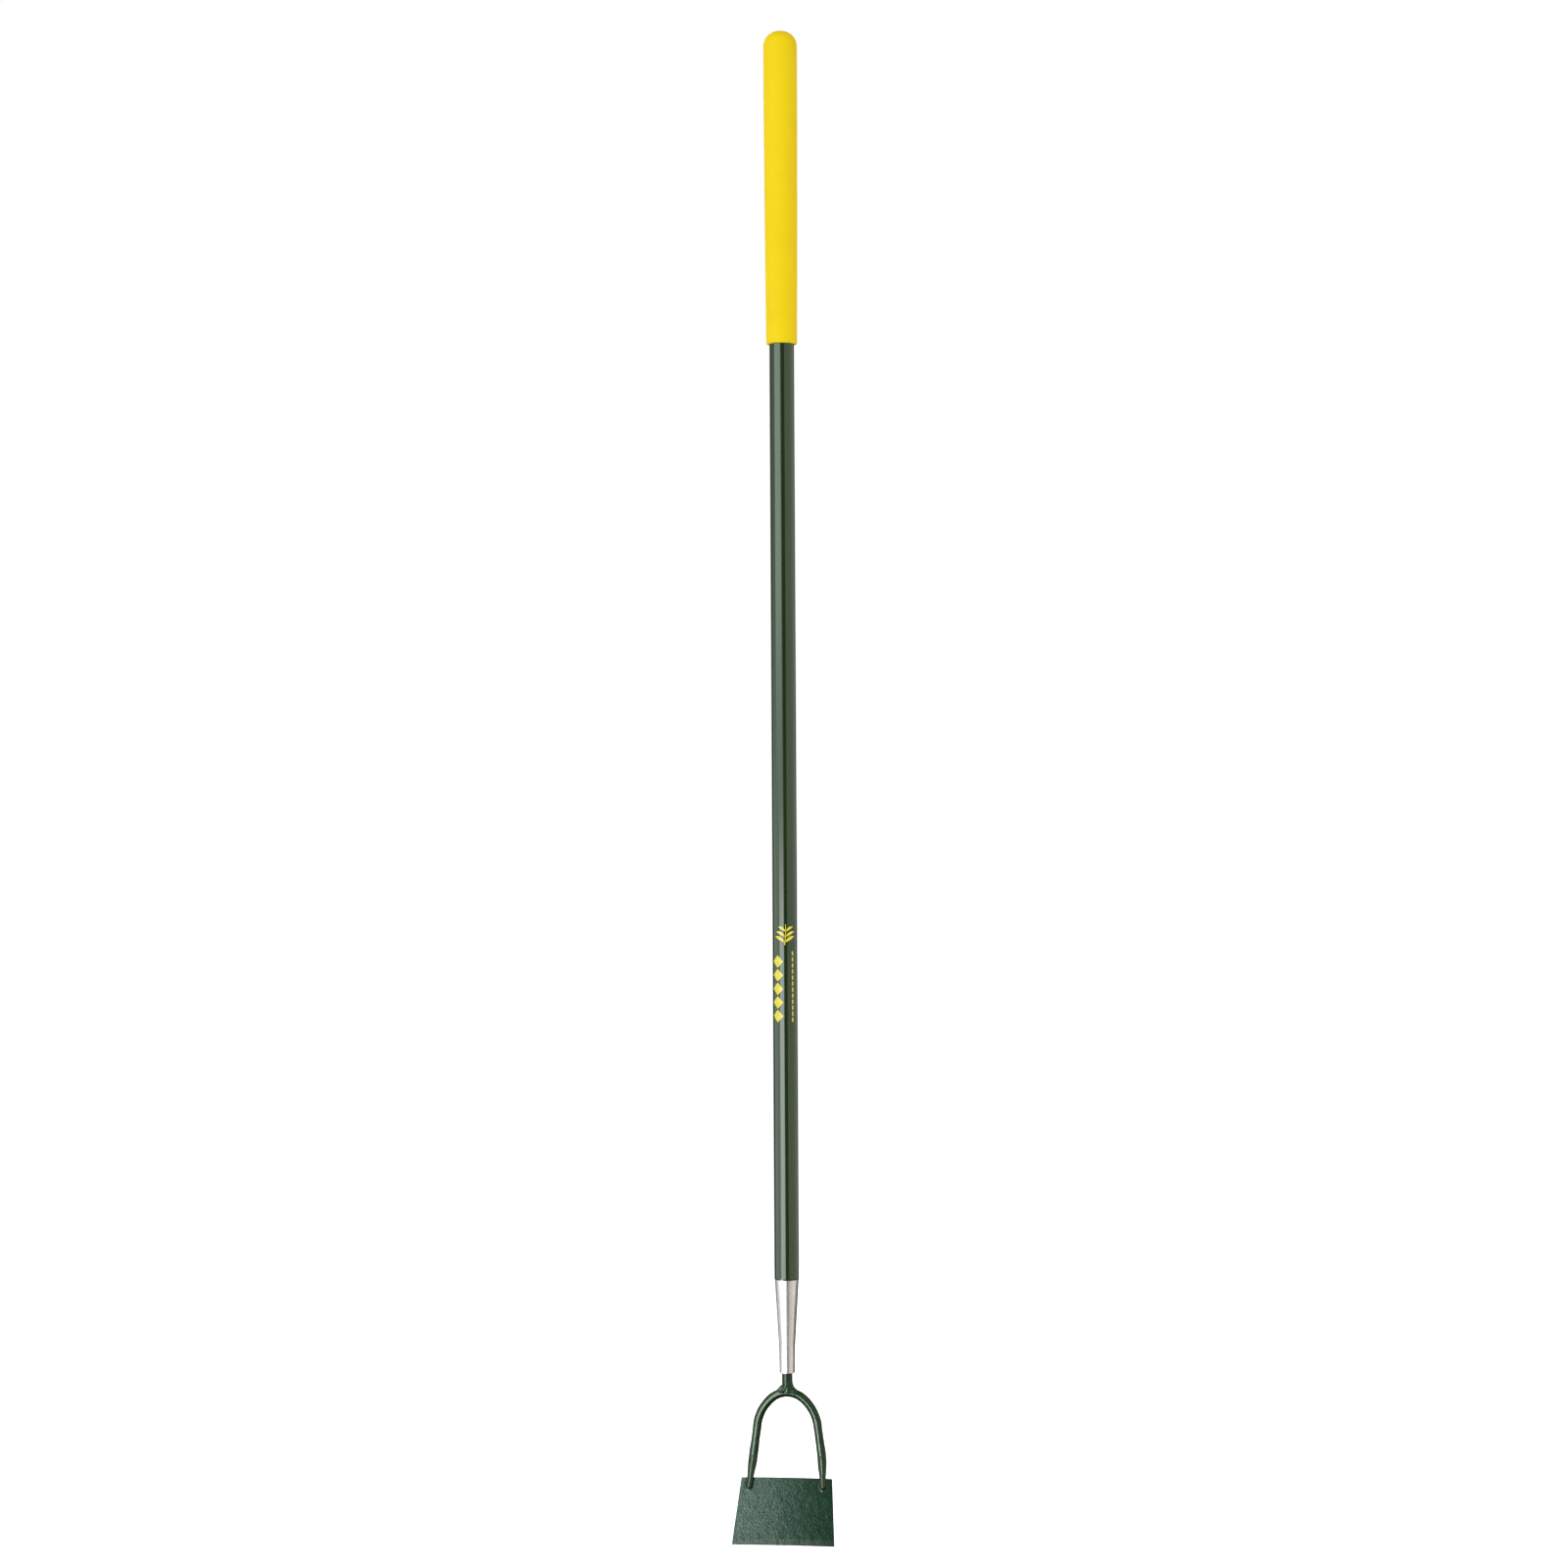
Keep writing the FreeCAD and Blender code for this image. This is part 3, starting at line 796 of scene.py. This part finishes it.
def bow_line():
    """Points along the bar's centre, from the crown's top to the tip of the +X arm."""

    def on_arc(x, z, radius, degrees):
        angle = math.radians(degrees)
        return Vector((x + radius * math.sin(angle), 0, z + radius * math.cos(angle)))

    crown_z = (crown_top - floor_height) / MM - BAR_RADIUS - CROWN_ARC_RADIUS
    side = on_arc(0, crown_z, CROWN_ARC_RADIUS - SIDE_ARC_RADIUS, CROWN_ARC_ANGLE)
    side_sweep = 90 - ARM_LEAN - CROWN_ARC_ANGLE
    lean, splay = math.radians(ARM_LEAN), math.radians(ARM_END_SPLAY)
    above = Vector((math.sin(lean), 0, -math.cos(lean)))
    below = Vector((math.sin(splay), 0, 0)) - blade_frame().col[1].xyz * math.cos(splay)
    side_end = on_arc(side.x, side.z, SIDE_ARC_RADIUS, 90 - ARM_LEAN)
    knee = side_end + above * ((side_end.z - KNEE_HEIGHT) / -above.z)
    reach = KNEE_BEND_RADIUS * math.tan(above.angle(below) / 2)
    start, end = knee - above * reach, knee + below * reach
    tip = knee + below * ((knee.z - ARM_END_HEIGHT) / -below.z)
    line = []
    for i in range(CROWN_STEPS):
        line.append(on_arc(0, crown_z, CROWN_ARC_RADIUS, CROWN_ARC_ANGLE * i / CROWN_STEPS))
    for i in range(SIDE_STEPS):
        turn = CROWN_ARC_ANGLE + side_sweep * i / SIDE_STEPS
        line.append(on_arc(side.x, side.z, SIDE_ARC_RADIUS, turn))
    line += [side_end.lerp(start, i / ARM_STEPS) for i in range(ARM_STEPS)]
    for i in range(KNEE_STEPS):
        t = i / KNEE_STEPS
        line.append(start.lerp(knee, t).lerp(knee.lerp(end, t), t))
    return line + [end.lerp(tip, i / END_STEPS) for i in range(END_STEPS + 1)]


def make_bow():
    """One round bar swept along the bow, drawn out and forged unevenly, with round ends."""
    right = bow_line()
    line = [Vector((-p.x, p.y, p.z)) for p in right[:0:-1]] + right
    radii = np.interp([p.z for p in line], DRAWN_HEIGHTS, DRAWN_RADII)
    window = 2 * DRAWN_SMOOTHING + 1
    padded = np.pad(radii, DRAWN_SMOOTHING, "edge")
    radii = list(np.convolve(padded, np.full(window, 1 / window), "valid"))
    first, last = (line[0] - line[1]).normalized(), (line[-1] - line[-2]).normalized()
    for i in range(1, TIP_RINGS + 1):
        turn = math.radians(TIP_TURN * i)
        step = ARM_END_RADIUS * (math.sin(turn) - math.sin(turn - math.radians(TIP_TURN)))
        line = [line[0] + first * step] + line + [line[-1] + last * step]
        radii = [ARM_END_RADIUS * math.cos(turn)] + radii + [ARM_END_RADIUS * math.cos(turn)]
    bm = bmesh.new()
    rings = []
    for i, (centre, radius) in enumerate(zip(line, radii)):
        ahead = (line[min(i + 1, len(line) - 1)] - line[max(i - 1, 0)]).normalized()
        out = (Vector((0, 1, 0)) - ahead * ahead.y).normalized()
        side = ahead.cross(out)
        ring = []
        for k in range(BAR_SEGMENTS):
            angle = math.tau * k / BAR_SEGMENTS
            away = out * math.cos(angle) + side * math.sin(angle)
            spot = (centre + away * radius) * MM
            lump = sum(share * jitter(spot, size, seed) for share, size, seed in FORGED_LUMPS)
            spot += away * lump * FORGED_RELIEF * min(1, radius / FULL_RELIEF_RADIUS) * MM
            ring.append(bm.verts.new(spot + Vector((0, 0, floor_height))))
        rings.append(ring)
    for ring, following in zip(rings, rings[1:]):
        for k in range(BAR_SEGMENTS):
            j = (k + 1) % BAR_SEGMENTS
            bm.faces.new((ring[k], ring[j], following[j], following[k]))
    bm.faces.new(rings[0])
    bm.faces.new(rings[-1])
    bow = mesh_from(bm, "forged_bow")
    add_piece(bow, paint_of_bow, "head_paint", "bow", sharp=60)


make_bow()


# ---------------------------------------------------------------- welds
def melt(first, second, reach):
    """Union of two distance fields with a hollow fillet about reach wide."""
    share = np.clip(0.5 + 0.5 * (second - first) / reach, 0, 1)
    return second * (1 - share) + first * share - reach * share * (1 - share)


def rod(spot, start, end, start_radius, end_radius, flatness=(1, 1, 1)):
    """Distance field of a round-ended tapered rod.

    A flatness under 1 makes it wider along that axis.
    """
    scale = np.array(flatness)
    a, b = np.array(start) * scale, np.array(end) * scale
    offset = [axis * s - p for axis, s, p in zip(spot, scale, a)]
    line = b - a
    share = sum(o * l for o, l in zip(offset, line)) / line.dot(line)
    share = np.clip(share, 0, 1)
    gap = np.sqrt(sum((o - share * l) ** 2 for o, l in zip(offset, line)))
    return gap - (start_radius + (end_radius - start_radius) * share)


def skin(field, low, high, step):
    """Vertices and quads of the surface where field(spot) is zero, found by surface nets."""
    counts = [math.ceil((b - a) / step) + 1 for a, b in zip(low, high)]
    axes = [a + step * np.arange(n) for a, n in zip(low, counts)]
    value = field(np.meshgrid(*axes, indexing="ij"))
    cells = tuple(n - 1 for n in counts)
    total, hits, rings = np.zeros((*cells, 3)), np.zeros(cells), []
    for axis in range(3):
        u, v = (axis + 1) % 3, (axis + 2) % 3
        before = np.moveaxis(value, axis, 0)[:-1]
        after = np.moveaxis(value, axis, 0)[1:]
        crossed = np.moveaxis((before < 0) != (after < 0), 0, axis)
        spots = np.argwhere(crossed)
        starts = np.moveaxis(before, 0, axis)[crossed]
        ends = np.moveaxis(after, 0, axis)[crossed]
        crossing = np.array(low) + step * spots
        crossing[:, axis] += step * starts / (starts - ends)
        ring = []
        for du, dv in ((0, 0), (1, 0), (1, 1), (0, 1)):
            cell = spots.copy()
            cell[:, u] -= du
            cell[:, v] -= dv
            np.add.at(total, tuple(cell.T), crossing)
            np.add.at(hits, tuple(cell.T), 1)
            ring.append(np.ravel_multi_index(tuple(cell.T), cells))
        ring = np.stack(ring, 1)
        ring[starts > 0] = ring[starts > 0][:, ::-1]
        rings.append(ring)
    used = np.flatnonzero(hits)
    place = np.full(hits.size, -1)
    place[used] = np.arange(len(used))
    points = total.reshape(-1, 3)[used] / hits.reshape(-1)[used][:, None]
    return points, place[np.concatenate(rings)]


def ease(value, low, high):
    """0 below low, 1 above high and smooth between."""
    share = np.clip((value - low) / (high - low), 0, 1)
    return share * share * (3 - 2 * share)


# millimetres: how far a bead stands proud at its middle and lies under its neighbours at its border
BEAD_PROUD = 0.08
BEAD_SUNK = 0.4
BEAD_BORDER = (0.72, 0.95)  # shares of its reach between which it sinks
RIPPLE = 0.15 * MM
RIPPLE_SIZE = 2.0 * MM


def settle(body, far):
    """Sinks a bead towards its border, where far is 1."""
    return body - BEAD_PROUD + (BEAD_PROUD + BEAD_SUNK) * ease(far, *BEAD_BORDER)


def make_bead(name, field, low, high, step, place, node):
    """Weld bead from a distance field in millimetres, rippled."""
    points, quads = skin(field, low, high, step)
    mesh = bpy.data.meshes.new(name)
    mesh.from_pydata([place @ (Vector(p) * MM) for p in points], [], quads.tolist())
    mesh.update()
    bead = new_object(name, mesh)
    shifts = [v.normal * RIPPLE * jitter(v.co, RIPPLE_SIZE, 7) for v in mesh.vertices]
    for vertex, shift in zip(mesh.vertices, shifts):
        vertex.co += shift
    add_piece(bead, paint_of_bow, "head_paint", node, sharp=80)


NECK_STEP = 0.3
NECK_CUT = -3.0
NECK_MIDDLE = 0.5
NECK_REACH = (14.5, 9, 9.5)
NECK_PASSES = (  # start, end and radius of the ridges that the welder left
    ((-0.9, -4.9, 4.2), (-2.6, -5.1, -0.6), 1.0),
    ((-2.6, -5.1, -0.6), (-7.0, -3.9, -3.8), 1.35),
    ((0.5, 4.9, 3.0), (-6.9, 3.3, -4.0), 1.1),
    ((-0.2, 4.8, 3.0), (7.2, 3.3, -4.2), 1.1),
)
neck_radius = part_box("shank")[1].x / MM


def neck_field(spot):
    """Neck bar welded on the crown, measured from the crown's top.

    There is a web on its right and a lump on its left.
    """
    x, y, z = spot
    arch = np.hypot(x, z + BAR_RADIUS + CROWN_ARC_RADIUS) - CROWN_ARC_RADIUS
    crown = np.hypot(arch, y) - BAR_RADIUS
    neck = np.maximum(np.hypot(x, y) - neck_radius, NECK_CUT - z)
    web = rod(spot, (3.2, 0, 4.1), (7.4, 0, -3.4), 1.6, 2.0, (1, 0.55, 1))
    lump = rod(spot, (-6.0, 0, 0.6), (-10.2, 0, -4.2), 2.0, 1.7, (1, 0.6, 1))
    body = melt(melt(neck, crown, 2.4), web, 2.2)
    body = melt(body, lump, 0.9)
    for start, end, radius in NECK_PASSES:
        body = melt(body, rod(spot, start, end, radius, radius), 0.9)
    across, deep, tall = NECK_REACH
    far = np.sqrt((x / across) ** 2 + (y / deep) ** 2 + ((z - NECK_MIDDLE) / tall) ** 2)
    return np.maximum(settle(body, far), (far - 1) * 6)


neck_place = Matrix.Translation((0, 0, crown_top))
neck_low, neck_high = (-15, -9.5, -10), (15, 9.5, 11)
make_bead("neck_bead", neck_field, neck_low, neck_high, NECK_STEP, neck_place, "neck_weld")

ARM_STEP = 0.24
ARM_TAPER = 0.056
ARM_SEAT = 2.45
ARM_REACH = 20
ARM_TIP_BAND = 0.6
ARM_REAR_MARGIN = 0.35
ARM_BEAD_SPREAD, ARM_BEAD_HEIGHT = 6.2, 4.2
ARM_RIDGE_OUT, ARM_RIDGE_DEPTH, ARM_RIDGE_RADIUS = 1.1, 0.05, 0.55
blade_top = BLADE_THICKNESS / MM


def make_arm_bead(name, node, side):
    """Bead round the tip of one of the bow's arms, in the blade's own frame."""
    place = blade_frame()
    bow_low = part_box("bow")[0]
    tip_height = bow_low.z + ARM_END_RADIUS * MM
    bar = [v.co for v in nodes["bow"].data.vertices if v.co.x * side > 0]
    lowest = [c.x for c in bar if c.z < bow_low.z + ARM_TIP_BAND * MM]
    tip_x = sum(lowest) / len(lowest)
    out = place.col[2].xyz
    up = place.col[1].xyz
    seat = (blade_top + ARM_SEAT) * MM
    tip_along = (tip_height - place.translation.z - seat * out.z) / up.z
    tip = (tip_x / MM, tip_along / MM, blade_top + ARM_SEAT)
    rear_edge = BLADE_LENGTH / MM - ARM_REAR_MARGIN
    lean = math.tan(math.radians(ARM_END_SPLAY)) * side
    rear = (tip[0] - lean * ARM_REACH, tip[1] + ARM_REACH, tip[2])

    def field(spot):
        x, y, z = spot
        flat = (x, y, z * 0 + tip[2])
        arm = rod(spot, tip, rear, ARM_END_RADIUS, ARM_END_RADIUS + ARM_REACH * ARM_TAPER)
        beside = rod(flat, tip, rear, 0, 0)
        plate = z - blade_top
        ridge = np.hypot(beside - ARM_END_RADIUS - ARM_RIDGE_OUT, plate + ARM_RIDGE_DEPTH)
        ridge = ridge - ARM_RIDGE_RADIUS
        ridge = ridge + 0.9 * ease(y, tip[1] + 1.5, tip[1] + 9)
        body = melt(melt(arm, plate, 0.9), ridge, 0.5)
        far = np.maximum(beside / ARM_BEAD_SPREAD, (plate - 0.4) / ARM_BEAD_HEIGHT)
        far = np.maximum(far, (y - tip[1]) / (rear_edge + 0.6 - tip[1]))
        bead = np.maximum(settle(body, far), y - rear_edge)
        return np.maximum(np.maximum(bead, (far - 1) * 4), -plate - 0.8)

    low = (tip[0] - 7.5, tip[1] - 8, blade_top - 1.5)
    high = (tip[0] + 7.5, tip[1] + 13, blade_top + 6)
    make_bead(name, field, low, high, ARM_STEP, place, node)


make_arm_bead("left_arm_bead", "left_arm_weld", -1)
make_arm_bead("right_arm_bead", "right_arm_weld", 1)


# ---------------------------------------------------------------- printed pattern on the tube
INK_HEIGHT = 0.05 * MM
INK_DEPTH = 0.02 * MM
PRINT_AZIMUTH = 4.5
PRINT_FOOT = 520.0 * MM
# millimetres across and up from the print's foot
SPRIG_FOOT, SPRIG_HEIGHT, SPRIG_STEPS = 78.5, 21, 14
SPRIG_SWAY, SPRIG_WAVE = 1.2, 2.2
LEAVES = ((0.12, 10.5), (0.38, 10.0), (0.64, 8.0))  # place on the stem and reach
LEAF_STEPS = 12
LOZENGES, LOZENGE_PITCH, LOZENGE_HEIGHT, LOZENGE_WIDTH, LOZENGE_STEPS = 5, 13.8, 12.6, 12.4, 8
LOZENGE_ACROSS, LOZENGE_UP = -7.6, 6.5
DASHES, DASH_PITCH, DASH_LENGTH, DASH_WIDTH = 12, 6.1, 4.2, 1.5
DASH_ACROSS, DASH_UP = 8.5, 0.6


def make_print():
    """Generic garden pattern: a sprig above a column of lozenges and a fine row of dashes."""
    bm = bmesh.new()

    def wrapped(across, up, lift):
        angle = math.radians(PRINT_AZIMUTH) + across / tube_radius
        radius = tube_radius + lift
        height = floor_height + PRINT_FOOT + up
        return bm.verts.new((radius * math.sin(angle), -radius * math.cos(angle), height))

    def stroke(points, widths, strips=4):
        """Closed shell along a line of (across, up) points in mm, with a width at each."""
        spots = [Vector(p) * MM for p in points]
        rows = []
        for i, spot in enumerate(spots):
            ahead = spots[min(i + 1, len(spots) - 1)] - spots[max(i - 1, 0)]
            side = Vector((-ahead.y, ahead.x)).normalized() * widths[i] * MM / 2
            row = [spot + side * (2 * k / strips - 1) for k in range(strips + 1)]
            rows.append(row)
        sheets = []
        for lift in (INK_HEIGHT, -INK_DEPTH):
            sheets.append([[wrapped(p.x, p.y, lift) for p in row] for row in rows])
        skin_sheets(bm, *sheets)

    def leaf(start, end, width, bend):
        """Pointed leaf between two points, bowed sideways."""
        a, b = Vector(start), Vector(end)
        side = Vector((a.y - b.y, b.x - a.x)).normalized() * bend
        ts = [i / LEAF_STEPS for i in range(LEAF_STEPS + 1)]
        points = [a.lerp(b, t) + side * 4 * t * (1 - t) for t in ts]
        widths = [max(0.12, width * math.sin(math.pi * t) ** 0.8) for t in ts]
        stroke(points, widths)

    def on_stem(t):
        sway = SPRIG_SWAY * math.sin(t * SPRIG_WAVE)
        return Vector((0, SPRIG_FOOT)) + Vector((sway, SPRIG_HEIGHT * t))

    # sprig
    stem = range(SPRIG_STEPS + 1)
    widths = [1.1 - 0.4 * i / SPRIG_STEPS for i in stem]
    stroke([on_stem(i / SPRIG_STEPS) for i in stem], widths)
    for i, (t, reach) in enumerate(LEAVES):
        foot = on_stem(t)
        for way in (-1, 1):
            tip = foot + Vector((way * reach, 6.2 - 0.6 * i))
            leaf(foot + Vector((way * 0.6, 0.4)), tip, 3.3 - 0.4 * i, way * 0.9)
    # column of lozenges
    for i in range(LOZENGES):
        middle = LOZENGE_UP + LOZENGE_PITCH * i
        points, widths = [], []
        for k in range(LOZENGE_STEPS + 1):
            points.append((LOZENGE_ACROSS, middle + LOZENGE_HEIGHT * (k / LOZENGE_STEPS - 0.5)))
            widths.append(max(0.3, LOZENGE_WIDTH * (1 - abs(2 * k / LOZENGE_STEPS - 1))))
        stroke(points, widths, strips=10)
    # column of dashes
    for i in range(DASHES):
        up = DASH_UP + DASH_PITCH * i
        points = [(DASH_ACROSS, up + DASH_LENGTH * k / 2) for k in range(3)]
        stroke(points, [DASH_WIDTH] * 3, strips=2)
    printed = mesh_from(bm, "tube_print")
    add_piece(printed, ink_of_print, "tube_paint")


make_print()


# ---------------------------------------------------------------- lamps for the head alone
def light_only(group_name, pieces, lamps):
    """Lets some lamps light only some pieces."""
    group = bpy.data.collections.new(group_name)
    for name in pieces:
        group.objects.link(bpy.data.objects[name])
    for name in lamps:
        bpy.data.objects[name].light_linking.receiver_collection = group


BOW_PIECES = ("forged_bow", "neck_bead", "left_arm_bead", "right_arm_bead")
light_only("blade_only", ("blade_plate",), ("overhead", "floor_bounce"))
light_only("bow_only", BOW_PIECES, ("bow_core", "bow_strip"))
